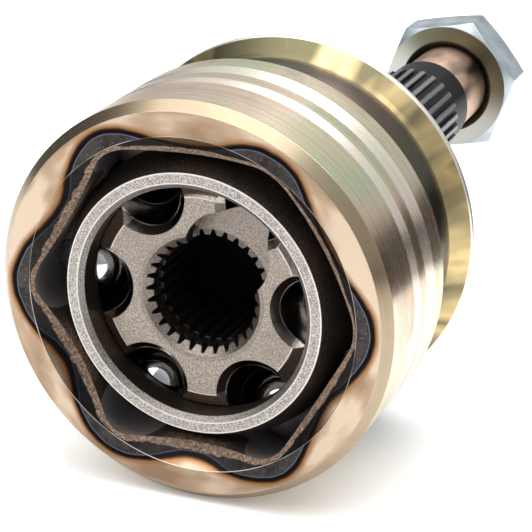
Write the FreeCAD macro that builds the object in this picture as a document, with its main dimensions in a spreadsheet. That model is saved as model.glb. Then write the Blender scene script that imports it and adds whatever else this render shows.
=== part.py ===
"""Outer constant-velocity joint: a six-ball Rzeppa joint with its splined hub stub.

Every piece is drawn about a local Z axis with the joint centre at the origin, the mouth of the
bell towards -Z and the stub towards +Z. The shared placement then lays that axis along +Y.
"""
import FreeCAD, Part
import Sketcher
import math
import os
import re

from FreeCAD import Placement, Rotation, Vector

X_AXIS = Vector(1, 0, 0)
Z_AXIS = Vector(0, 0, 1)

SIZES = (
    # bell, stations measured from the joint centre
    ("mouth_depth", 18.9),
    ("face_radius", 42.0),
    ("bell_radius", 44.0),
    ("face_chamfer", 2.4),
    ("boot_band", 12.4),
    ("front_groove_width", 4.0),
    ("front_groove_drop", 0.7),
    ("groove_land", 3.9),
    ("rear_groove_width", 5.3),
    ("rear_groove_drop", 0.9),
    ("rear_band", 6.0),
    ("waist_radius", 38.6),
    ("waist_length", 8.5),
    ("flare_step", 2.6),
    ("flare_length", 9.6),
    ("flare_arc", 34.0),
    ("seat_radius", 37.0),
    ("seat_length", 5.8),
    ("back_slope", 2.6),
    ("cavity_depth", 28.0),
    # lip of the mouth
    ("turned_radius", 36.8),
    ("lip_depth", 5.4),
    ("throat_corner_centre", 27.3),
    ("throat_corner_radius", 8.5),
    ("throat_depth", 9.4),
    ("overcut", 1.0),
    # balls and tracks
    ("ball_count", 6),
    ("ball_diameter", 15.875),
    ("ball_pitch_radius", 30.2),
    ("track_offset", 3.5),
    ("track_clearance", 0.15),
    ("track_back_reach", 50),
    ("track_front_reach", 75),
    # cage
    ("cage_radius", 33.4),
    ("cage_clearance", 0.15),
    ("cage_half_width", 17.1),
    ("cage_bore_radius", 25.2),
    ("cage_back_bore", 24.0),
    ("cage_edge", 1.1),
    ("window_length", 20.5),
    ("window_clearance", 0.35),
    ("window_corner", 3.0),
    # inner race
    ("race_radius", 27.3),
    ("race_half_width", 12.4),
    ("race_face_radius", 22.1),
    ("race_edge_depth", 1.6),
    ("bore_radius", 11.6),
    ("bore_teeth", 28),
    ("bore_tooth_depth", 1.2),
    ("bore_gap_mouth", 2.1),
    ("bore_gap_floor", 0.6),
    ("bore_chamfer_radius", 13.4),
    ("circlip_groove_depth", 4.2),
    ("circlip_groove_width", 2.0),
    ("circlip_groove_radius", 13.7),
    ("access_depth", 6.8),
    ("access_radius", 9.5),
    ("access_centre", 11.7),
    ("groove_mouth_radius", 8.9),
    ("groove_mouth_centre", 24.4),
    ("groove_mouth_depth", 1.6),
    # stub
    ("root_radius", 19.0),
    ("root_length", 2.0),
    ("journal_radius", 15.0),
    ("journal_length", 27.0),
    ("spline_radius", 13.0),
    ("spline_length", 54.0),
    ("spline_teeth", 26),
    ("spline_tooth_depth", 1.1),
    ("spline_gap_mouth", 2.2),
    ("spline_gap_floor", 1.1),
    ("spline_runout", 1.0),
    ("relief_radius", 11.9),
    ("relief_length", 13.0),
    ("thread_radius", 11.0),
    ("thread_length", 32.0),
    ("end_chamfer", 1.2),
    # deflector ring
    ("deflector_wall", 3.4),
    ("deflector_flare", 3.0),
    ("deflector_lip", 1.2),
    ("deflector_edge", 1.0),
    ("press_clearance", 0.02),
    # hub nut
    ("nut_across_flats", 34.0),
    ("nut_height", 12.5),
    ("nut_setback", 17.0),
    ("nut_clearance", 0.08),
    ("nut_countersink", 1.6),
    ("nut_corner_chamfer", 1.6),
    ("nut_turn", 10),
)

doc = FreeCAD.newDocument("cv_joint")
sheet = doc.addObject("Spreadsheet::Sheet", "Sizes")
for row, (alias, value) in enumerate(SIZES, start=1):
    sheet.set("A%d" % row, alias)
    sheet.set("B%d" % row, str(value))
    sheet.setAlias("B%d" % row, alias)
doc.recompute()


def size(alias):
    """Value of one driving dimension."""
    return float(sheet.get(alias))


def bind(feature, **expressions):
    """Tie the properties of a feature to cells of the sheet."""
    for name, expression in expressions.items():
        feature.setExpression(name, expression)


def worked(name, expression):
    """Add a dimension that follows from the driving ones."""
    row = len(SIZES) + len(WORKED) + 1
    WORKED.append(name)
    sheet.set("A%d" % row, name)
    sheet.set("B%d" % row, "=" + expression)
    sheet.setAlias("B%d" % row, name)
    doc.recompute()


WORKED = []
worked("ball_radius", "ball_diameter / 2")
worked("track_radius", "ball_radius + track_clearance")
worked("path_radius", "sqrt(ball_pitch_radius ^ 2 + track_offset ^ 2)")
worked("land_radius", "cage_radius + cage_clearance")
worked("cage_inner_radius", "race_radius + cage_clearance")
worked("cage_face_radius", "sqrt(cage_radius ^ 2 - cage_half_width ^ 2)")
worked("cage_bore_depth", "sqrt(cage_inner_radius ^ 2 - cage_bore_radius ^ 2)")
worked("cage_back_depth", "sqrt(cage_inner_radius ^ 2 - cage_back_bore ^ 2)")
worked("land_start_radius", "sqrt(land_radius ^ 2 - (mouth_depth - lip_depth) ^ 2)")
worked("bottom_radius", "sqrt(land_radius ^ 2 - cavity_depth ^ 2)")
worked("front_groove", "face_chamfer + boot_band - mouth_depth")
worked("front_land", "front_groove + front_groove_width")
worked("rear_groove", "front_land + groove_land")
worked("band_start", "rear_groove + rear_groove_width")
worked("flare_radius", "seat_radius + flare_step")
worked("deflector_front_radius", "seat_radius + deflector_wall")
worked("deflector_radius", "deflector_front_radius + deflector_flare")
worked("waist_start", "band_start + rear_band")
worked("waist_place", "waist_start + waist_length")
worked("seat_place", "waist_place + flare_length")
worked("seat_end", "seat_place + seat_length")
worked("back_face", "seat_end + back_slope")
worked("journal_start", "back_face + root_length")
worked("spline_start", "journal_start + journal_length")
worked("spline_end", "spline_start + spline_length")
worked("thread_start", "spline_end + relief_length")
worked("stub_end", "thread_start + thread_length")
worked("nut_place", "thread_start + nut_setback")
worked("race_corner_depth", "race_half_width - race_edge_depth")
worked("race_corner_radius", "sqrt(race_radius ^ 2 - race_corner_depth ^ 2)")
worked("spline_root", "spline_radius - spline_tooth_depth")

LAID = Rotation(X_AXIS, -90)
BALLS = int(size("ball_count"))
NAMES = [alias for alias, value in SIZES] + WORKED


def in_sheet(expression):
    """The same expression with every name looked up in the sheet."""
    return re.sub("[a-z_]+", lambda word: "Sizes." + word[0] if word[0] in NAMES else word[0], expression)


def arc_centre(start, end, radius, side):
    """Centre of the arc from start to end, on the left of the chord when side is +1."""
    chord = end - start
    middle = (start + end) * 0.5
    left = Vector(-chord.y, chord.x, 0).normalize()
    return middle + left * (side * math.sqrt(max(radius ** 2 - chord.Length ** 2 / 4, 0)))


def outline_sketch(body, name, plane, corners, offset=None):
    """Closed sketch through corners, each (across, along) or (across, along, radius, side).

    Every entry but side is an expression in the sheet's names; a radius bends the edge that
    leaves that corner, with its centre on the left of the edge when side is +1.
    """
    sketch = body.newObject("Sketcher::SketchObject", name)
    for feature in body.Origin.OriginFeatures:
        if feature.Role == plane:
            sketch.AttachmentSupport = (feature, [""])
    sketch.MapMode = "FlatFace"
    if offset:
        sketch.setExpression("AttachmentOffset.Base.z", offset)
    points = [Vector(sheet.evalExpression(c[0]), sheet.evalExpression(c[1]), 0) for c in corners]
    bends = []
    for index, corner in enumerate(corners):
        start = points[index]
        end = points[(index + 1) % len(points)]
        if len(corner) == 2:
            sketch.addGeometry(Part.LineSegment(start, end))
            continue
        radius = sheet.evalExpression(corner[2])
        centre = arc_centre(start, end, radius, corner[3])
        first = math.atan2(start.y - centre.y, start.x - centre.x)
        last = math.atan2(end.y - centre.y, end.x - centre.x)
        if corner[3] < 0:
            first, last = last, first
        sketch.addGeometry(Part.ArcOfCircle(Part.Circle(centre, Z_AXIS, radius), first, last))
        bends.append((index, corner[2], radius))
    begins = [2 if len(c) > 2 and c[3] < 0 else 1 for c in corners]
    for index, point in enumerate(points):
        after = (index + 1) % len(points)
        sketch.addConstraint(
            Sketcher.Constraint("Coincident", index, 3 - begins[index], after, begins[after]))
    for index, corner in enumerate(corners):
        for kind, value, expression in (
            ("DistanceX", points[index].x, corner[0]),
            ("DistanceY", points[index].y, corner[1]),
        ):
            number = sketch.addConstraint(
                Sketcher.Constraint(kind, -1, 1, index, begins[index], value))
            sketch.setExpression("Constraints[%d]" % number, in_sheet(expression))
    for index, expression, radius in bends:
        number = sketch.addConstraint(Sketcher.Constraint("Radius", index, radius))
        sketch.setExpression("Constraints[%d]" % number, in_sheet(expression))
    return sketch


def turned(label, corners):
    """Body of revolution about Z from an (radius, height) outline."""
    body = doc.addObject("PartDesign::Body", label)
    sketch = outline_sketch(body, label + "_outline", "XZ_Plane", corners)
    revolution = body.newObject("PartDesign::Revolution", label + "_turning")
    revolution.Profile = sketch
    revolution.ReferenceAxis = (sketch, ["V_Axis"])
    revolution.Angle = 360
    doc.recompute()
    return body


def turned_about(feature, angle, base=None):
    """Swing a feature about Z by an angle, after moving it to base."""
    swing = Rotation(Z_AXIS, angle)
    start = base or Vector()
    feature.Placement = Placement(swing.multVec(start), swing.multiply(feature.Placement.Rotation))


def joined(kind, label, shapes):
    """Fuse several features into one."""
    fuse = doc.addObject(kind, label)
    fuse.Shapes = shapes
    return fuse


def cut(label, base, tool):
    """Take tool away from base."""
    result = doc.addObject("Part::Cut", label)
    result.Base = base
    result.Tool = tool
    doc.recompute()
    return result


def track_cutters(label, side):
    """Ball tracks: torus arcs centred off the joint centre, towards the mouth when side is -1."""
    cutters = []
    for index in range(BALLS):
        arc = doc.addObject("Part::Torus", "%s_%d" % (label, index + 1))
        bind(arc, Radius1="Sizes.path_radius", Radius2="Sizes.track_radius",
             Angle3="Sizes.track_back_reach + Sizes.track_front_reach")
        start = size("track_front_reach") if side < 0 else size("track_back_reach")
        # the torus sweeps from the mouth end of the track to its back end
        plane = Rotation(X_AXIS, 90)
        sweep = Rotation(Z_AXIS, -start)
        spin = Rotation(Z_AXIS, index * 360 / BALLS)
        centre = Vector(0, 0, side * size("track_offset"))
        arc.Placement = Placement(centre, spin.multiply(plane).multiply(sweep))
        cutters.append(arc)
    return joined("Part::MultiFuse", label, cutters)


def toothed_cutter(label, count, corners, start, length):
    """Gaps of a straight spline: one prismatic gap, repeated round the axis."""
    gap_body = doc.addObject("PartDesign::Body", label + "_gap")
    sketch = outline_sketch(gap_body, label + "_profile", "XY_Plane", corners, in_sheet(start))
    pad = gap_body.newObject("PartDesign::Pad", label + "_pad")
    pad.Profile = sketch
    pad.setExpression("Length", in_sheet(length))
    doc.recompute()
    gaps = []
    for index in range(count):
        gap = doc.addObject("Part::Feature", "%s_%d" % (label, index + 1))
        gap.Shape = gap_body.Shape.copy()
        gap.Placement = Placement(Vector(), Rotation(Z_AXIS, index * 360 / count))
        gaps.append(gap)
    return joined("Part::MultiFuse", label, gaps)


def lay_down(feature, label, offset=None):
    """Name a finished piece and lay its axis along Y."""
    feature.Label = label
    base = LAID.multVec(offset) if offset else Vector()
    feature.Placement = Placement(base, LAID).multiply(feature.Placement)
    finished[label] = feature


finished = {}


def throat_prism():
    """Rounded polygon with one corner over each ball track, where the mouth was broached clear."""
    body = doc.addObject("PartDesign::Body", "throat")
    corners = []
    for index in range(BALLS):
        middle = 360.0 / BALLS * index
        for side, bend in ((-1, ("throat_corner_radius", 1)), (1, ())):
            normal = middle + side * 180.0 / BALLS
            corners.append(tuple(
                "throat_corner_centre * %s(%s) + throat_corner_radius * %s(%s)"
                % (name, middle, name, normal) for name in ("cos", "sin")) + bend)
    sketch = outline_sketch(body, "throat_outline", "XY_Plane", corners,
                            in_sheet("-mouth_depth - overcut"))
    pad = body.newObject("PartDesign::Pad", "throat_pad")
    pad.Profile = sketch
    pad.setExpression("Length", in_sheet("throat_depth + overcut"))
    doc.recompute()
    return body


def build_outer_race():
    """Bell, hub journal, splined stub and thread: one forging."""
    blank = turned("bell_blank", (
        ("turned_radius", "-mouth_depth"),
        ("face_radius", "-mouth_depth"),
        ("bell_radius", "face_chamfer - mouth_depth"),
        ("bell_radius", "front_groove"),
        ("bell_radius - front_groove_drop", "front_groove + front_groove_drop / 2"),
        ("bell_radius", "front_land"),
        ("bell_radius", "rear_groove"),
        ("bell_radius - rear_groove_drop", "rear_groove + rear_groove_drop / 2"),
        ("bell_radius", "band_start"),
        ("bell_radius", "waist_start"),
        ("waist_radius", "waist_place", "flare_arc", 1),
        ("flare_radius", "seat_place"),
        ("seat_radius", "seat_place"),
        ("seat_radius", "seat_end"),
        ("root_radius", "back_face"),
        ("journal_radius", "journal_start"),
        ("journal_radius", "spline_start"),
        ("spline_radius", "spline_start"),
        ("spline_radius", "spline_end"),
        ("relief_radius", "spline_end + spline_tooth_depth"),
        ("relief_radius", "thread_start - end_chamfer"),
        ("thread_radius", "thread_start"),
        ("thread_radius", "stub_end - end_chamfer"),
        ("thread_radius - end_chamfer", "stub_end"),
        ("0", "stub_end"),
        ("0", "cavity_depth"),
        ("bottom_radius", "cavity_depth", "land_radius", -1),
        ("land_start_radius", "lip_depth - mouth_depth"),
    ))
    tracked = cut("tracked_bell", blank, track_cutters("outer_track", -1))
    broached = cut("broached_bell", tracked, throat_prism())
    gaps = toothed_cutter("stub_spline", int(size("spline_teeth")), (
        ("spline_root", "-spline_gap_floor / 2"),
        ("spline_radius + overcut", "-spline_gap_mouth / 2"),
        ("spline_radius + overcut", "spline_gap_mouth / 2"),
        ("spline_root", "spline_gap_floor / 2"),
    ), "spline_start + spline_runout", "spline_length + end_chamfer")
    lay_down(cut("splined_bell", broached, gaps), "outer_race")


def build_inner_race():
    """Star with six ball tracks, a splined bore and a round scoop that gives access to its circlip."""
    blank = turned("race_blank", (
        ("bore_chamfer_radius", "-race_half_width"),
        ("race_face_radius", "-race_half_width"),
        ("race_corner_radius", "-race_corner_depth", "race_radius", 1),
        ("race_corner_radius", "race_corner_depth"),
        ("race_face_radius", "race_half_width"),
        ("bore_chamfer_radius", "race_half_width"),
        ("bore_radius", "race_half_width - bore_chamfer_radius + bore_radius"),
        ("bore_radius", "circlip_groove_depth + circlip_groove_width - race_half_width"),
        ("circlip_groove_radius", "circlip_groove_depth + circlip_groove_width - race_half_width"),
        ("circlip_groove_radius", "circlip_groove_depth - race_half_width"),
        ("bore_radius", "circlip_groove_depth - race_half_width"),
        ("bore_radius", "bore_chamfer_radius - bore_radius - race_half_width"),
    ))
    tracked = cut("tracked_race", blank, track_cutters("inner_track", 1))
    scoop = doc.addObject("Part::Cylinder", "access_scoop")
    bind(scoop, Radius="Sizes.access_radius", Height="Sizes.access_depth + Sizes.overcut")
    turned_about(scoop, 360 / BALLS * (BALLS - 1),
                 Vector(size("access_centre"), 0, -size("race_half_width") - size("overcut")))
    opened = cut("opened_race", tracked, scoop)
    gaps = toothed_cutter("bore_spline", int(size("bore_teeth")), (
        ("bore_radius - overcut", "-bore_gap_mouth / 2"),
        ("bore_radius + bore_tooth_depth", "-bore_gap_floor / 2"),
        ("bore_radius + bore_tooth_depth", "bore_gap_floor / 2"),
        ("bore_radius - overcut", "bore_gap_mouth / 2"),
    ), "-race_half_width - overcut", "2 * (race_half_width + overcut)")
    splined = cut("splined_race", opened, gaps)
    mouths = []
    for index in range(BALLS):
        mouth = doc.addObject("Part::Cone", "groove_mouth_%d" % (index + 1))
        bind(mouth, Radius1="Sizes.groove_mouth_radius + Sizes.overcut",
             Radius2="Sizes.groove_mouth_radius - Sizes.groove_mouth_depth",
             Height="Sizes.groove_mouth_depth + Sizes.overcut")
        turned_about(mouth, 360 / BALLS * index,
                     Vector(size("groove_mouth_centre"), 0, -size("race_half_width") - size("overcut")))
        mouths.append(mouth)
    lay_down(cut("chamfered_race", splined, joined("Part::MultiFuse", "groove_mouths", mouths)),
             "inner_race")


def build_cage():
    """Spherical cage with a flat-faced ring at each end and six windows."""
    blank = turned("cage_blank", (
        ("cage_bore_radius + cage_edge", "-cage_half_width"),
        ("cage_face_radius", "-cage_half_width", "cage_radius", 1),
        ("cage_face_radius", "cage_half_width"),
        ("cage_back_bore", "cage_half_width"),
        ("cage_back_bore", "cage_back_depth", "cage_inner_radius", -1),
        ("cage_bore_radius", "-cage_bore_depth"),
        ("cage_bore_radius", "cage_edge - cage_half_width"),
    ))
    windows = []
    for index in range(BALLS):
        pane = doc.addObject("Part::Box", "pane_%d" % (index + 1))
        bind(pane, Length="Sizes.cage_radius", Width="Sizes.window_length",
             Height="Sizes.ball_diameter + 2 * Sizes.window_clearance")
        doc.recompute()
        window = doc.addObject("Part::Fillet", "window_%d" % (index + 1))
        window.Base = pane
        corner = size("window_corner")
        window.Edges = [(number, corner, corner) for number, edge in enumerate(pane.Shape.Edges, 1)
                        if abs(edge.tangentAt(0).x) > 0.9]
        turned_about(window, index * 360 / BALLS, Vector(
            size("cage_bore_radius") / 2, -size("window_length") / 2,
            -size("ball_radius") - size("window_clearance")))
        windows.append(window)
    lay_down(cut("windowed_cage", blank, joined("Part::MultiFuse", "windows", windows)), "cage")


def build_balls():
    """Six balls in the mid-plane, numbered from +X towards +Z."""
    for index in range(BALLS):
        ball = doc.addObject("Part::Sphere", "ball_%d" % (index + 1))
        bind(ball, Radius="Sizes.ball_radius")
        angle = math.radians(-index * 360 / BALLS)
        pitch = size("ball_pitch_radius")
        lay_down(ball, "ball_%d" % (index + 1),
                 Vector(pitch * math.cos(angle), pitch * math.sin(angle), 0))


def build_deflector():
    """Pressed ring that shields the hub bearing, with a sloped front rim."""
    ring = turned("dust_deflector", (
        ("seat_radius + press_clearance", "seat_place"),
        ("flare_radius", "seat_place"),
        ("deflector_front_radius", "seat_place + deflector_lip"),
        ("deflector_radius", "seat_end - deflector_edge"),
        ("deflector_radius", "seat_end"),
        ("seat_radius + press_clearance", "seat_end"),
    ))
    lay_down(ring, "dust_deflector")


def build_hub_nut():
    """Hexagon nut with turned corners and a countersunk bore, run onto the thread."""
    blank = turned("nut_turning", (
        ("thread_radius + nut_clearance + nut_countersink", "nut_place"),
        ("nut_across_flats / 2", "nut_place"),
        ("nut_across_flats / sqrt(3) + 0.1", "nut_place + nut_corner_chamfer"),
        ("nut_across_flats / sqrt(3) + 0.1", "nut_place + nut_height - nut_corner_chamfer"),
        ("nut_across_flats / 2", "nut_place + nut_height"),
        ("thread_radius + nut_clearance + nut_countersink", "nut_place + nut_height"),
        ("thread_radius + nut_clearance", "nut_place + nut_height - nut_countersink"),
        ("thread_radius + nut_clearance", "nut_place + nut_countersink"),
    ))
    hexagon = doc.addObject("Part::Prism", "hexagon")
    bind(hexagon, Circumradius="Sizes.nut_across_flats / sqrt(3)", Height="Sizes.nut_height")
    hexagon.Polygon = 6
    turned_about(hexagon, -size("nut_turn"), Vector(0, 0, size("nut_place")))
    nut = doc.addObject("Part::Common", "nut")
    nut.Base = blank
    nut.Tool = hexagon
    lay_down(nut, "hub_nut")


build_outer_race()
build_inner_race()
build_cage()
build_balls()
build_deflector()
build_hub_nut()
doc.recompute()

for feature in doc.Objects:
    if "Invalid" in feature.State or "Error" in feature.State:
        raise RuntimeError("%s failed: %s" % (feature.Name, feature.State))
os.makedirs("parts", exist_ok=True)
for label, feature in finished.items():
    shape = feature.Shape
    if shape.isNull() or not shape.isValid():
        raise RuntimeError("%s has no valid shape" % label)
    print(label, "solids", len(shape.Solids), "volume", round(shape.Volume, 1))
    shape.exportStep("parts/%s.step" % label)
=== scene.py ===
"""Look of the outer constant-velocity joint: procedural metals, soft studio light, pale floor."""
import math

import bpy
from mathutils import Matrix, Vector


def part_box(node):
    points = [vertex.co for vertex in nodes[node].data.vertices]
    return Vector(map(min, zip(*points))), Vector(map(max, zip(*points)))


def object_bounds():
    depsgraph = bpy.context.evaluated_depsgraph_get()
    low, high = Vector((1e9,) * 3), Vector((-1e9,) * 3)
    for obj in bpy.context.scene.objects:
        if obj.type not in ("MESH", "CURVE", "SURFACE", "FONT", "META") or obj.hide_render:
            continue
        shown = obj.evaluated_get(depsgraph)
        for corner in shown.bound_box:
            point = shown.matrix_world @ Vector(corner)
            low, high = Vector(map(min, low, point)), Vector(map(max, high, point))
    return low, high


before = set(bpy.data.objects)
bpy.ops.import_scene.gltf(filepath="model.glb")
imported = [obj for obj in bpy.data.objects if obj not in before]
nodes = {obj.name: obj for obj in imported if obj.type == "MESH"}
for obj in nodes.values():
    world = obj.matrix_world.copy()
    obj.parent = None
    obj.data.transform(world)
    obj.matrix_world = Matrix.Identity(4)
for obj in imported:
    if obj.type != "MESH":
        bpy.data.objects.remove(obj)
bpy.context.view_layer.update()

MM = 0.001
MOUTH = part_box("outer_race")[0].y

# Places on the part that the colours follow, in millimetres. A station is a place along the joint
# axis, from the joint centre toward the stub. A depth is a distance behind the mouth face.
LOBES = 6
STUB_TEETH = 26
FACE_EDGE = 42.0            # radius where the front face turns into the chamfer
CHAMFER_DEPTH = 2.4
TURNED_RADIUS = 36.8        # scribed edge of the turned ring on the front face
CONE_DEPTH = 0.1            # where the lead-in cone of the mouth starts
LIP_DEPTH = 5.4             # where that cone meets the throat
WALL_DEPTH = 9.7            # where the throat opens into the cavity
CAVITY_RADIUS = 38.4
CAVITY_FLOOR = 28.4         # station
THROAT_FLAT = 23.64         # the broached throat: flats joined by corner arcs
THROAT_HALF_SIDE = 13.65
THROAT_CORNER = 8.5
TRACK_PATH = 30.4           # the ball tracks: arcs swung about an offset centre
TRACK_OFFSET = 3.5
TRACK_RADIUS = 8.1
TRACK_REACH = 39.75         # radius of the track bottoms at the mouth
TRACK_END = (18.0, 20.0)    # stations over which the polish of the tracks fades out
SAND_FADE = (5.6, 7.4)      # depths over which the sand fades down the throat wall
TINT_RADIUS = 37.55         # mean radius and wave of the heat-tint outline
TINT_WAVE = 2.95
CLAMP_GROOVES = ((-4.1, -0.1), (3.8, 9.1))
WAIST = (18.5, 33.0)
STUB_START = 41.0
SPLINE = (70.6, 124.7)
NECK_START = 137.0
NUT_FACE = 157.0
DEFLECTOR_BACK = 39.0
DEFLECTOR_RIM = 43.0        # radius
RACE_FRONT = -12.3
RACE_TABS = -10.6           # front of the lands between the tracks, outside the ground face
RACE_RADIUS = 21.8
RACE_BORE = 14.3
RACE_BORE_RIM = (13.5, 13.75)
RACE_BORE_WORN = (-11.0, -10.2)     # stations where the worn edge gives way to dark teeth
SCOOP_FLOOR = -5.6
SCOOP_RADIUS = 12.95
CAGE_FRONT = -17.0
CAGE_CHAMFER = -15.9
CAGE_RING = (26.3, 28.4)
NUT_SEAT_RADIUS = 16.9
NUT_BORE = 13.0

# Stage
CAMERA_AZIMUTH = 22.48      # degrees
CAMERA_ELEVATION = 21.63
CAMERA_DISTANCE = 410 * MM
CAMERA_TARGET = (13.6 * MM, MOUTH + 9.2 * MM, 8.2 * MM)
CAMERA_LENS = 135.3
CAMERA_SENSOR = 36
FLOOR_SIZE = 6
FLOOR_GAP = 0.05 * MM
FLOOR_GLOW = 0.12           # lifts the shadow under the bell, as the light tent's floor does


def tone(red, green, blue):
    """Linear colour from the shares of red, green and blue seen on a display."""
    return tuple(((part + 0.055) / 1.055) ** 2.4 for part in (red, green, blue))


class Nodes:
    """Short names for building a node tree."""

    def __init__(self, tree):
        self.tree = tree

    def node(self, kind, **values):
        node = self.tree.nodes.new(kind)
        for name, value in values.items():
            setattr(node, name, value)
        return node

    def feed(self, socket, value):
        """Link a socket, or set a value that is the same all over."""
        if isinstance(value, bpy.types.NodeSocket):
            self.tree.links.new(value, socket)
        elif isinstance(value, tuple) and len(value) == 3 and socket.type == "RGBA":
            socket.default_value = (*value, 1)
        else:
            socket.default_value = value

    def math(self, operation, first, second=0.0):
        node = self.node("ShaderNodeMath", operation=operation)
        self.feed(node.inputs[0], first)
        self.feed(node.inputs[1], second)
        return node.outputs[0]

    def add(self, first, second):
        return self.math("ADD", first, second)

    def minus(self, first, second):
        return self.math("SUBTRACT", first, second)

    def times(self, first, second):
        return self.math("MULTIPLY", first, second)

    def both(self, *masks):
        """Product of masks: 1 where all of them are 1."""
        result = masks[0]
        for mask in masks[1:]:
            result = self.times(result, mask)
        return result

    def either(self, first, second):
        return self.math("MAXIMUM", first, second)

    def rise(self, value, low, high):
        """0 at low, 1 at high, smooth between, and flat beyond."""
        node = self.node("ShaderNodeMapRange", interpolation_type="SMOOTHSTEP")
        for name, item in (("Value", value), ("From Min", low), ("From Max", high)):
            self.feed(node.inputs[name], item)
        return node.outputs[0]

    def fall(self, value, low, high):
        return self.minus(1.0, self.rise(value, low, high))

    def band(self, value, low, high, soft):
        """1 between low and high, with soft edges."""
        return self.times(self.rise(value, low - soft, low + soft),
                          self.fall(value, high - soft, high + soft))

    def mix(self, factor, first, second):
        """Colour from first at 0 to second at 1."""
        node = self.node("ShaderNodeMix", data_type="RGBA")
        for index, item in ((0, factor), (6, first), (7, second)):
            self.feed(node.inputs[index], item)
        return node.outputs[2]


class Graph(Nodes):
    """One material, with the object's own coordinates."""

    def __init__(self, name):
        self.material = bpy.data.materials.new(name)
        self.material.use_nodes = True
        super().__init__(self.material.node_tree)
        self.tree.nodes.clear()
        self.shader = self.node("ShaderNodeBsdfPrincipled")
        output = self.node("ShaderNodeOutputMaterial")
        self.tree.links.new(self.shader.outputs["BSDF"], output.inputs["Surface"])
        self.point = self.node("ShaderNodeTexCoord").outputs["Object"]

    def blend(self, factor, first, second):
        """Number from first at 0 to second at 1."""
        node = self.node("ShaderNodeMix", data_type="FLOAT")
        for index, item in ((0, factor), (2, first), (3, second)):
            self.feed(node.inputs[index], item)
        return node.outputs[0]

    def tint(self, mask, share, under, over):
        """Lay a share of the colour over onto the colour under, where the mask is 1."""
        return self.mix(self.times(mask, share), under, over)

    def ramp(self, factor, *stops):
        node = self.node("ShaderNodeValToRGB")
        elements = node.color_ramp.elements
        while len(elements) < len(stops):
            elements.new(0.5)
        for element, (place, colour) in zip(elements, stops):
            element.position = place
            element.color = (*colour, 1)
        self.feed(node.inputs[0], factor)
        return node.outputs[0]

    def noise(self, scale, detail=3.0, vector=None, roughness=0.5):
        node = self.node("ShaderNodeTexNoise")
        self.feed(node.inputs["Vector"], vector or self.point)
        for name, item in (("Scale", scale), ("Detail", detail), ("Roughness", roughness)):
            node.inputs[name].default_value = item
        return node.outputs["Fac"]

    def length(self, first, second):
        return self.math("SQRT", self.add(self.times(first, first), self.times(second, second)))

    def combine(self, x, y, z):
        node = self.node("ShaderNodeCombineXYZ")
        for socket, value in zip(node.inputs, (x, y, z)):
            self.feed(socket, value)
        return node.outputs[0]

    def polar(self):
        """Place about the joint axis: station and radius in millimetres, and angle."""
        node = self.node("ShaderNodeSeparateXYZ")
        self.feed(node.inputs[0], self.point)
        x, y, z = (self.times(socket, 1 / MM) for socket in node.outputs)
        return y, self.length(x, z), self.math("ARCTAN2", z, x)

    def folded(self, angle):
        """Angle from the nearest of the six track centres."""
        step = math.tau / LOBES
        turned = self.add(angle, math.tau + step / 2)
        return self.minus(self.math("MODULO", turned, step), step / 2)

    def around(self, angle, turns, across, shift):
        """Noise place that closes on itself round the axis and changes faster with more turns."""
        return self.combine(self.times(self.math("COSINE", angle), turns),
                            self.times(self.math("SINE", angle), turns),
                            self.add(across, shift))

    def turned_lines(self, station, radius, scale):
        """Fine tool marks that run round the axis."""
        return self.noise(1.0, 2.0, self.combine(self.times(station, scale),
                                                 self.times(radius, scale), 0.0))

    def finish(self, colour, rough, metal=1.0, bump=None, strength=0.2, distance=0.1,
               edge=0.3, turned=0.0):
        """Feed the shader: edge rounds edges by that many millimetres, and turned streaks
        the reflections round the axis."""
        self.feed(self.shader.inputs["Base Color"], colour)
        self.feed(self.shader.inputs["Roughness"], rough)
        self.feed(self.shader.inputs["Metallic"], metal)
        normal = None
        if edge:
            bevel = self.node("ShaderNodeBevel", samples=4)
            bevel.inputs["Radius"].default_value = edge * MM
            normal = bevel.outputs[0]
        if bump:
            node = self.node("ShaderNodeBump")
            node.inputs["Strength"].default_value = strength
            node.inputs["Distance"].default_value = distance * MM
            self.feed(node.inputs["Height"], bump)
            if normal:
                self.feed(node.inputs["Normal"], normal)
            normal = node.outputs[0]
        if normal:
            self.feed(self.shader.inputs["Normal"], normal)
        if turned:
            tangent = self.node("ShaderNodeTangent", direction_type="RADIAL", axis="Y")
            self.feed(self.shader.inputs["Anisotropic"], turned)
            self.feed(self.shader.inputs["Tangent"], tangent.outputs[0])
            self.shader.inputs["Anisotropic Rotation"].default_value = 0.25
        return self.material


def bell_skin(g, station, angle, lines):
    """Turned outside: tan steel with slow straw, green and pink shifts and streaks."""
    slow = g.noise(1.0, 2.0, g.around(angle, 2.1, g.times(station, 0.05), 3.0))
    steel = g.ramp(slow, (0.34, tone(0.78, 0.80, 0.65)), (0.45, tone(0.87, 0.79, 0.66)),
                   (0.55, tone(0.91, 0.81, 0.72)), (0.66, tone(0.72, 0.64, 0.52)))
    bloom = g.ramp(g.noise(42.0, 2.0), (0.40, tone(0.76, 0.82, 0.66)),
                   (0.50, tone(0.86, 0.79, 0.69)), (0.60, tone(0.84, 0.66, 0.50)))
    steel = g.mix(0.45, steel, bloom)
    streak = g.noise(1.0, 3.0, g.around(angle, 0.7, g.times(station, 2.2), 5.0))
    steel = g.tint(g.rise(streak, 0.45, 0.75), 0.5, steel, tone(0.54, 0.47, 0.40))
    scuff = g.noise(70.0, 5.0, roughness=0.7)
    steel = g.tint(g.rise(scuff, 0.52, 0.72), 0.45, steel, tone(0.50, 0.43, 0.34))
    steel = g.tint(lines, 0.22, steel, tone(0.97, 0.93, 0.88))
    # painted highlight: the clamp grooves are laid near white as bright bands
    groove_highlight = g.either(*(g.band(station, *groove, 0.1) for groove in CLAMP_GROOVES))
    steel = g.tint(groove_highlight, 0.6, steel, tone(0.98, 0.95, 0.91))
    # painted shade: the undercut waist in front of the deflector is laid dark
    return g.tint(g.band(station, *WAIST, 2.0), 0.9, steel, tone(0.22, 0.21, 0.19))


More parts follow.
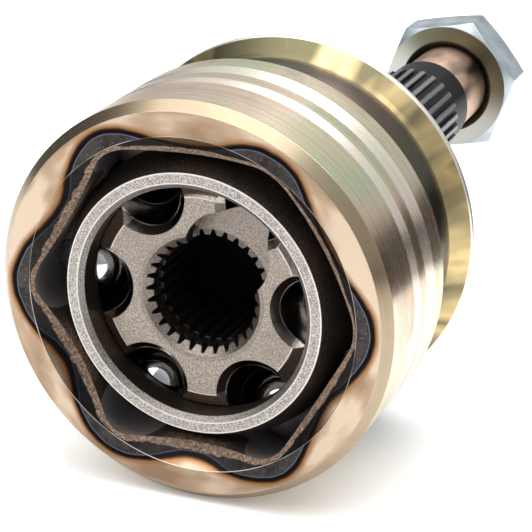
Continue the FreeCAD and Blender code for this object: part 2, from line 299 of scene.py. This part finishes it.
def heat_tint(g, radius, angle, bare):
    """Tempering colours round each track, from tan through brown and blue-black to dark grey.

    Gives the colour and the mask of the dark part.
    """
    wave = g.times(g.math("COSINE", g.times(angle, LOBES)), TINT_WAVE)
    wander = g.times(g.minus(g.noise(140.0, 3.0), 0.5), 1.1)
    beyond = g.minus(radius, g.add(g.add(wave, TINT_RADIUS), wander))
    oxide = g.ramp(g.noise(500.0, 4.0), (0.35, tone(0.19, 0.18, 0.18)),
                   (0.68, tone(0.28, 0.26, 0.26)))
    speck = g.rise(g.noise(2300.0, 2.0), 0.62, 0.72)
    oxide = g.tint(speck, 0.35, oxide, tone(0.62, 0.56, 0.50))
    colour = g.mix(g.fall(beyond, -1.25, -0.95), tone(0.07, 0.07, 0.08), oxide)
    colour = g.tint(g.band(beyond, -1.05, -0.80, 0.10), 0.7, colour, tone(0.42, 0.43, 0.47))
    for start, end, shade in ((-0.10, 0.30, tone(0.28, 0.17, 0.10)),
                              (0.15, 0.75, tone(0.56, 0.41, 0.27)), (0.5, 1.9, bare)):
        colour = g.mix(g.rise(beyond, start, end), colour, shade)
    return colour, g.fall(beyond, -0.2, 0.3)


def edge_gaps(g, station, radius, fold):
    """Distance from the broached throat and from the ball tracks, in millimetres."""
    lean = g.minus(math.pi / LOBES, g.math("ABSOLUTE", fold))
    height = g.minus(g.times(radius, g.math("COSINE", lean)), THROAT_FLAT)
    over = g.minus(g.times(radius, g.math("SINE", lean)), THROAT_HALF_SIDE)
    throat = g.minus(g.length(height, g.either(over, 0.0)), THROAT_CORNER)
    across = g.times(radius, g.math("SINE", fold))
    out = g.times(radius, g.math("COSINE", fold))
    swing = g.length(out, g.add(station, TRACK_OFFSET))
    track = g.minus(g.length(g.minus(swing, TRACK_PATH), across), TRACK_RADIUS)
    return throat, track


def front_face(g, radius, angle, depth, lines, grit):
    """Pale tan, mottled, with fine lathe lines and a scribed circle, heat-tinted round the tracks.

    Gives the colour and the mask of the dark part.
    """
    patch = g.noise(1.0, 2.0, g.around(angle, 2.4, g.times(radius, 0.16), 2.0))
    bare = g.ramp(patch, (0.38, tone(0.52, 0.41, 0.30)), (0.50, tone(0.64, 0.54, 0.44)),
                  (0.60, tone(0.77, 0.69, 0.60)))
    bare = g.tint(lines, 0.20, bare, tone(0.88, 0.82, 0.75))
    bare = g.tint(g.rise(grit, 0.55, 0.75), 0.18, bare, tone(0.52, 0.42, 0.33))
    face, dark = heat_tint(g, radius, angle, bare)
    scribed = g.both(g.band(radius, TURNED_RADIUS - 0.11, TURNED_RADIUS + 0.01, 0.04),
                     g.rise(g.noise(90.0, 3.0), 0.36, 0.56))
    face = g.tint(scribed, 0.75, face, tone(0.90, 0.87, 0.84))
    cone = g.rise(depth, CONE_DEPTH, CONE_DEPTH + 0.15)
    return g.tint(g.both(cone, dark), 0.65, face, tone(0.10, 0.10, 0.10)), dark


def stub_colour(g, station, angle):
    """Dark phosphate, spline crests with painted highlight, painted shade in the tooth gaps and in
    the black collar, bronze neck, plain steel thread.
    """
    stub = g.ramp(g.noise(400.0, 4.0), (0.3, tone(0.17, 0.17, 0.18)),
                  (0.7, tone(0.40, 0.40, 0.41)))
    start, end = SPLINE
    toothed = g.band(station, start, end, 0.1)
    ridge = g.math("COSINE", g.times(angle, STUB_TEETH))
    # painted shade: the gaps between the spline teeth are laid near black
    stub = g.mix(g.both(toothed, g.rise(ridge, 0.1, 0.95)), stub, tone(0.07, 0.07, 0.07))
    # painted highlight: the crests of the spline teeth are laid light grey
    stub = g.mix(g.both(toothed, g.fall(ridge, -0.95, -0.2)), stub, tone(0.52, 0.52, 0.53))
    # painted shade: the relief groove between the spline and the neck is laid near black
    stub = g.mix(g.rise(station, end - 0.2, end), stub, tone(0.09, 0.085, 0.08))
    blotch = g.noise(1.0, 2.0, g.around(angle, 1.1, g.times(station, 0.03), 1.0))
    neck = g.ramp(blotch, (0.42, tone(0.36, 0.30, 0.27)), (0.55, tone(0.90, 0.77, 0.68)))
    stub = g.mix(g.rise(station, NECK_START - 0.1, NECK_START + 0.4), stub, neck)
    return g.mix(g.rise(station, NUT_FACE, NUT_FACE + 0.5), stub, tone(0.40, 0.38, 0.36))


def forged_bell():
    """Turned and heat-tinted outside, black oxide round the tracks, cavity inside the mouth
    painted dark as shade, dark stub.
    """
    g = Graph("forged_steel")
    station, radius, angle = g.polar()
    depth = g.minus(station, MOUTH / MM)
    fold = g.folded(angle)
    lines = g.turned_lines(station, radius, 9.0)
    grit = g.noise(1700.0, 4.0, roughness=0.65)
    face, dark = front_face(g, radius, angle, depth, lines, grit)

    # sandy ledge along the edge of the cavity: widest on the lands between the tracks
    throat, track = edge_gaps(g, station, radius, fold)
    gap = g.math("MINIMUM", throat, track)
    land = g.times(g.math("ABSOLUTE", fold), LOBES / math.pi)
    wide = g.add(g.add(0.8, g.times(land, 0.9)),
                 g.times(g.minus(g.noise(330.0, 3.0), 0.5), 1.3))
    sand = g.ramp(grit, (0.36, tone(0.36, 0.30, 0.25)), (0.52, tone(0.55, 0.46, 0.39)),
                  (0.66, tone(0.72, 0.63, 0.54)))
    ledge = g.fall(g.minus(gap, wide), -0.15, 0.1)
    face = g.mix(ledge, face, sand)

    # cavity painted dark as shade, polished tracks and the dark forged wall of the throat
    shaded_cavity = g.ramp(g.noise(60.0, 3.0), (0.3, tone(0.10, 0.10, 0.10)),
                    (0.7, tone(0.20, 0.19, 0.18)))
    tracked = g.both(g.fall(g.math("ABSOLUTE", track), 0.04, 0.08), g.fall(station, *TRACK_END))
    shaded_cavity = g.mix(tracked, shaded_cavity, tone(0.45, 0.43, 0.42))
    wall = g.both(g.fall(throat, 0.03, 0.08), g.fall(depth, WALL_DEPTH - 0.1, WALL_DEPTH + 0.1),
                  g.rise(track, 0.03, 0.08))
    forged = g.ramp(grit, (0.35, tone(0.10, 0.09, 0.08)), (0.65, tone(0.30, 0.26, 0.23)))
    inner = g.mix(wall, shaded_cavity, forged)
    sandy = g.both(wall, g.fall(depth, *SAND_FADE), g.rise(land, 0.45, 0.8))
    inner = g.mix(sandy, inner, sand)

    # masks: the flat front face, its lead-in cone, and all that lies inside the mouth
    flat = g.both(g.fall(depth, 0.02, 0.04), g.fall(radius, FACE_EDGE - 0.05, FACE_EDGE + 0.05))
    on_lip = g.both(g.rise(gap, 0.02, 0.06), g.fall(depth, LIP_DEPTH, LIP_DEPTH + 0.05),
                    g.fall(radius, FACE_EDGE - 0.1, FACE_EDGE + 0.1))
    within = g.either(g.fall(radius, CAVITY_RADIUS - 0.05, CAVITY_RADIUS + 0.05),
                      g.both(tracked, g.fall(radius, TRACK_REACH - 0.25, TRACK_REACH + 0.25)))
    hollow = g.both(g.rise(depth, 0.03, 0.06),
                    g.fall(station, CAVITY_FLOOR - 0.1, CAVITY_FLOOR + 0.1), within)
    mouth = g.either(flat, hollow)
    inner = g.mix(g.either(flat, on_lip), inner, face)

    steel = bell_skin(g, station, angle, lines)
    chamfer = g.both(g.fall(depth, CHAMFER_DEPTH - 0.1, CHAMFER_DEPTH + 0.1),
                     g.rise(radius, FACE_EDGE - 0.1, FACE_EDGE + 0.1))
    steel = g.tint(chamfer, 0.85, steel, tone(0.60, 0.53, 0.44))
    on_stub = g.rise(station, STUB_START, STUB_START + 0.5)
    colour = g.mix(on_stub, steel, stub_colour(g, station, angle))
    colour = g.mix(mouth, colour, inner)

    rusty = g.both(mouth, ledge)
    rough = g.blend(lines, 0.20, 0.32)
    for mask, value in ((flat, g.blend(grit, 0.30, 0.46)),
                        (g.both(mouth, dark), g.blend(grit, 0.30, 0.52)),
                        (g.both(mouth, tracked), 0.12), (rusty, 0.72), (on_stub, 0.36)):
        rough = g.blend(mask, rough, value)
    grain = g.add(g.times(rusty, 2.2), g.times(mouth, 0.35))
    height = g.add(g.times(lines, 0.35), g.times(grain, grit))
    return g.finish(colour, rough, metal=g.blend(rusty, 1.0, 0.5), bump=height, strength=0.25,
                    distance=0.05, edge=0.25, turned=0.5)


def yellow_zinc():
    """Gold plating with olive sweeps round the ring, partly plating tone and partly painted
    reflection, a pale outer edge and a calmer back face.
    """
    g = Graph("yellow_zinc")
    station, radius, angle = g.polar()
    # the darker olive sweeps round the ring stand partly for plating tone and partly for painted
    # reflection
    sweep = g.noise(1.0, 3.0, g.around(angle, 2.6, g.times(station, 0.02), 7.0))
    colour = g.ramp(sweep, (0.40, tone(0.40, 0.38, 0.29)), (0.47, tone(0.68, 0.61, 0.45)),
                    (0.54, tone(0.82, 0.72, 0.52)), (0.61, tone(0.50, 0.43, 0.32)))
    scuff = g.noise(220.0, 4.0, roughness=0.7)
    colour = g.tint(g.rise(scuff, 0.5, 0.7), 0.15, colour, tone(0.45, 0.39, 0.28))
    colour = g.mix(g.rise(radius, DEFLECTOR_RIM, DEFLECTOR_RIM + 0.25), colour,
                   tone(0.93, 0.92, 0.88))
    back = g.both(g.rise(station, DEFLECTOR_BACK - 0.4, DEFLECTOR_BACK),
                  g.fall(radius, DEFLECTOR_RIM - 0.1, DEFLECTOR_RIM))
    colour = g.tint(back, 0.75, colour, tone(0.64, 0.58, 0.44))
    lines = g.turned_lines(station, radius, 4.0)
    return g.finish(colour, g.blend(lines, 0.28, 0.36), bump=lines, strength=0.05, distance=0.03,
                    turned=0.4)


def ground_race():
    """Ground faces with a light brown cast, dark polished tracks."""
    g = Graph("ground_steel")
    station, radius, _ = g.polar()
    front = g.fall(station, RACE_FRONT - 0.08, RACE_FRONT)
    grit = g.noise(3000.0, 4.0, roughness=0.7)
    face = g.ramp(grit, (0.34, tone(0.37, 0.34, 0.31)), (0.52, tone(0.56, 0.52, 0.48)),
                  (0.66, tone(0.77, 0.72, 0.68)))
    rim = g.either(g.band(radius, *RACE_BORE_RIM, 0.08),
                   g.rise(radius, RACE_RADIUS, RACE_RADIUS + 0.15))
    face = g.tint(rim, 0.7, face, tone(0.92, 0.89, 0.86))
    face = g.tint(g.rise(g.noise(130.0, 3.0), 0.4, 0.7), 0.35, face, tone(0.48, 0.43, 0.39))
    face = g.tint(g.turned_lines(station, radius, 5.0), 0.15, face, tone(0.88, 0.84, 0.80))
    dark = g.ramp(g.noise(200.0, 3.0), (0.3, tone(0.26, 0.25, 0.24)),
                  (0.7, tone(0.42, 0.40, 0.38)))
    # painted light: the tabs outside the ground face are laid lighter against the shade that falls
    # on them
    tabs_painted_light = g.ramp(grit, (0.3, tone(0.48, 0.44, 0.41)), (0.7, tone(0.80, 0.75, 0.70)))
    outer = g.both(g.rise(radius, RACE_RADIUS - 0.3, RACE_RADIUS),
                   g.fall(station, RACE_TABS, RACE_TABS + 0.4))
    colour = g.mix(front, g.mix(outer, dark, tabs_painted_light), face)

    # the bore: worn edge in front, dark teeth behind it, worn floor of the scoop
    bore = g.fall(radius, RACE_BORE - 0.1, RACE_BORE + 0.1)
    wear_and_shade = g.ramp(grit, (0.3, tone(0.34, 0.31, 0.29)), (0.7, tone(0.66, 0.62, 0.58)))
    teeth = g.mix(0.5, wear_and_shade, tone(0.14, 0.13, 0.12))
    colour = g.mix(g.both(bore, g.fall(station, *RACE_BORE_WORN)), colour, wear_and_shade)
    colour = g.mix(g.both(bore, g.rise(station, *RACE_BORE_WORN)), colour, teeth)
    floor = g.both(g.band(station, SCOOP_FLOOR - 0.15, SCOOP_FLOOR + 0.15, 0.05),
                   g.rise(radius, SCOOP_RADIUS - 0.05, SCOOP_RADIUS + 0.05))
    colour = g.mix(floor, colour, wear_and_shade)
    flats = g.either(front, floor)
    rough = g.blend(flats, g.blend(bore, 0.20, 0.42), g.blend(grit, 0.34, 0.52))
    return g.finish(colour, rough, bump=g.times(grit, flats), strength=0.4, distance=0.05,
                    edge=0.25)


def phosphated_cage():
    """Granular grey ring with bright edges, darker brown sphere and windows."""
    g = Graph("phosphated_steel")
    station, radius, _ = g.polar()
    inside, outside = CAGE_RING
    salt = g.noise(3200.0, 3.0, roughness=0.7)
    ring = g.ramp(salt, (0.34, tone(0.44, 0.42, 0.40)), (0.50, tone(0.64, 0.61, 0.59)),
                  (0.68, tone(0.86, 0.84, 0.81)))
    edge = g.either(g.band(radius, inside - 0.1, inside + 0.2, 0.08),
                    g.rise(radius, outside - 0.05, outside + 0.1))
    ring = g.tint(edge, 0.7, ring, tone(0.95, 0.94, 0.92))
    rest = g.ramp(salt, (0.34, tone(0.19, 0.17, 0.15)), (0.66, tone(0.40, 0.36, 0.33)))
    colour = g.mix(g.fall(station, CAGE_FRONT - 0.06, CAGE_FRONT + 0.05), rest, ring)
    chamfer = g.both(g.fall(station, CAGE_CHAMFER, CAGE_CHAMFER + 0.1),
                     g.fall(radius, inside, inside + 0.05))
    colour = g.mix(chamfer, colour, g.mix(0.4, ring, tone(0.30, 0.28, 0.26)))
    return g.finish(colour, g.blend(salt, 0.35, 0.60), bump=salt, strength=0.35, distance=0.04,
                    edge=0.25)


def polished_ball():
    """Mirror finish with faint handling marks."""
    g = Graph("ball_steel")
    smear = g.noise(160.0, 3.0)
    colour = g.ramp(smear, (0.3, (0.78, 0.79, 0.81)), (0.7, (0.90, 0.91, 0.93)))
    return g.finish(colour, g.blend(smear, 0.05, 0.12), edge=0)


def bright_zinc():
    """Bluish zinc on the nut, darker turned seat round the hole, one side of the seat painted
    darker as shade.
    """
    g = Graph("bright_zinc")
    station, radius, angle = g.polar()
    cloud = g.noise(120.0, 4.0)
    colour = g.ramp(cloud, (0.3, tone(0.62, 0.67, 0.69)), (0.7, tone(0.85, 0.89, 0.91)))
    seat = g.both(g.fall(radius, NUT_SEAT_RADIUS - 0.1, NUT_SEAT_RADIUS + 0.1),
                  g.fall(station, NUT_FACE - 0.5, NUT_FACE))
    # painted shade: one side of the seat is laid darker olive
    wear_and_shade = g.rise(g.math("COSINE", g.add(angle, -1.1)), -0.2, 0.6)
    colour = g.mix(seat, colour, g.mix(wear_and_shade, tone(0.78, 0.79, 0.77), tone(0.45, 0.45, 0.38)))
    colour = g.mix(g.fall(radius, NUT_BORE - 0.1, NUT_BORE + 0.1), colour,
                   tone(0.25, 0.25, 0.24))
    return g.finish(colour, g.blend(cloud, 0.28, 0.42), bump=cloud, distance=0.05, edge=0.5)


def dress():
    """Give every CAD node its material."""
    looks = {
        "outer_race": forged_bell(),
        "dust_deflector": yellow_zinc(),
        "inner_race": ground_race(),
        "cage": phosphated_cage(),
        "hub_nut": bright_zinc(),
    }
    ball = polished_ball()
    for name, node in nodes.items():
        node.data.materials.clear()
        node.data.materials.append(looks.get(name, ball))


def build_floor():
    """Wide pale floor just under the lowest point."""
    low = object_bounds()[0].z
    bpy.ops.mesh.primitive_plane_add(size=FLOOR_SIZE, location=(0, 0, low - FLOOR_GAP))
    floor = bpy.context.object
    floor.name = "studio_floor"
    g = Graph("studio_floor")
    g.finish((0.97, 0.97, 0.97), 0.6, metal=0.0, edge=0)
    g.shader.inputs["Emission Color"].default_value = (1, 1, 1, 1)
    g.shader.inputs["Emission Strength"].default_value = FLOOR_GLOW
    floor.data.materials.append(g.material)


def area_light(name, place, target, size, power):
    """Rectangular light at place, turned toward target. Sizes in metres, power in watts."""
    data = bpy.data.lights.new(name, "AREA")
    data.shape = "RECTANGLE"
    data.size, data.size_y = size
    data.energy = power
    light = bpy.data.objects.new(name, data)
    light.location = place
    toward = Vector(target) - Vector(place)
    light.rotation_euler = toward.to_track_quat("-Z", "Y").to_euler()
    bpy.context.scene.collection.objects.link(light)


def reflected_card(name, place, size):
    """Black upright card behind the right side, seen in reflections only."""
    mesh = bpy.data.meshes.new(name)
    half, rise = size[0] / 2, size[1] / 2
    mesh.from_pydata([(-half, 0, -rise), (half, 0, -rise), (half, 0, rise), (-half, 0, rise)],
                     [], [(0, 1, 2, 3)])
    card = bpy.data.objects.new(name, mesh)
    card.location = place
    bpy.context.scene.collection.objects.link(card)
    for ray in ("camera", "diffuse", "shadow", "transmission", "volume_scatter"):
        setattr(card, "visible_" + ray, False)
    g = Graph(name)
    g.finish((0.01, 0.01, 0.01), 0.9, metal=0.0, edge=0)
    mesh.materials.append(g.material)


def build_light():
    """White tent: plain white to the camera, soft grey with dark parts to everything else."""
    world = bpy.data.worlds.new("tent")
    bpy.context.scene.world = world
    world.use_nodes = True
    g = Nodes(world.node_tree)
    parts = g.node("ShaderNodeSeparateXYZ")
    g.feed(parts.inputs[0], g.node("ShaderNodeTexCoord").outputs["Generated"])
    x, y, z = parts.outputs
    tent = g.mix(g.rise(z, 0.1, 0.9), (0.60, 0.60, 0.61), (0.85, 0.85, 0.86))
    low_right = g.both(g.rise(x, 0.28, 0.42), g.rise(z, 0.12, 0.03))
    tent = g.mix(low_right, tent, (0.02, 0.02, 0.02))
    left = g.both(g.rise(x, -0.50, -0.80), g.rise(z, 0.85, 0.55))
    tent = g.mix(left, tent, (0.16, 0.16, 0.16))
    front = g.rise(y, -0.3, -0.9)
    tent = g.mix(front, tent, (0.30, 0.30, 0.31))
    seen = g.node("ShaderNodeLightPath").outputs["Is Camera Ray"]
    background = world.node_tree.nodes["Background"]
    g.feed(background.inputs["Color"], g.mix(seen, tent, (1.0, 1.0, 1.0)))
    area_light("key", (-0.45, -0.55, 0.75), (0, 0, 0), (1.0, 0.8), 5.5)
    area_light("top", (0.10, 0.15, 0.80), (0, 0.03, 0), (1.0, 1.0), 9)
    reflected_card("flag", (0.165, 0.16, -0.014), (0.19, 0.060))


def build_camera():
    """Long lens, looking into the mouth from the front right and above."""
    azimuth = math.radians(CAMERA_AZIMUTH)
    elevation = math.radians(CAMERA_ELEVATION)
    back = Vector((math.sin(azimuth) * math.cos(elevation),
                   -math.cos(azimuth) * math.cos(elevation), math.sin(elevation)))
    data = bpy.data.cameras.new("camera")
    data.sensor_width = CAMERA_SENSOR
    data.lens = CAMERA_LENS
    data.clip_start = 0.01
    camera = bpy.data.objects.new("camera", data)
    camera.location = Vector(CAMERA_TARGET) + back * CAMERA_DISTANCE
    camera.rotation_euler = (-back).to_track_quat("-Z", "Y").to_euler()
    bpy.context.scene.collection.objects.link(camera)
    bpy.context.scene.camera = camera


dress()
build_floor()
build_light()
build_camera()
scene = bpy.context.scene
scene.view_settings.view_transform = "Standard"
scene.view_settings.look = "None"
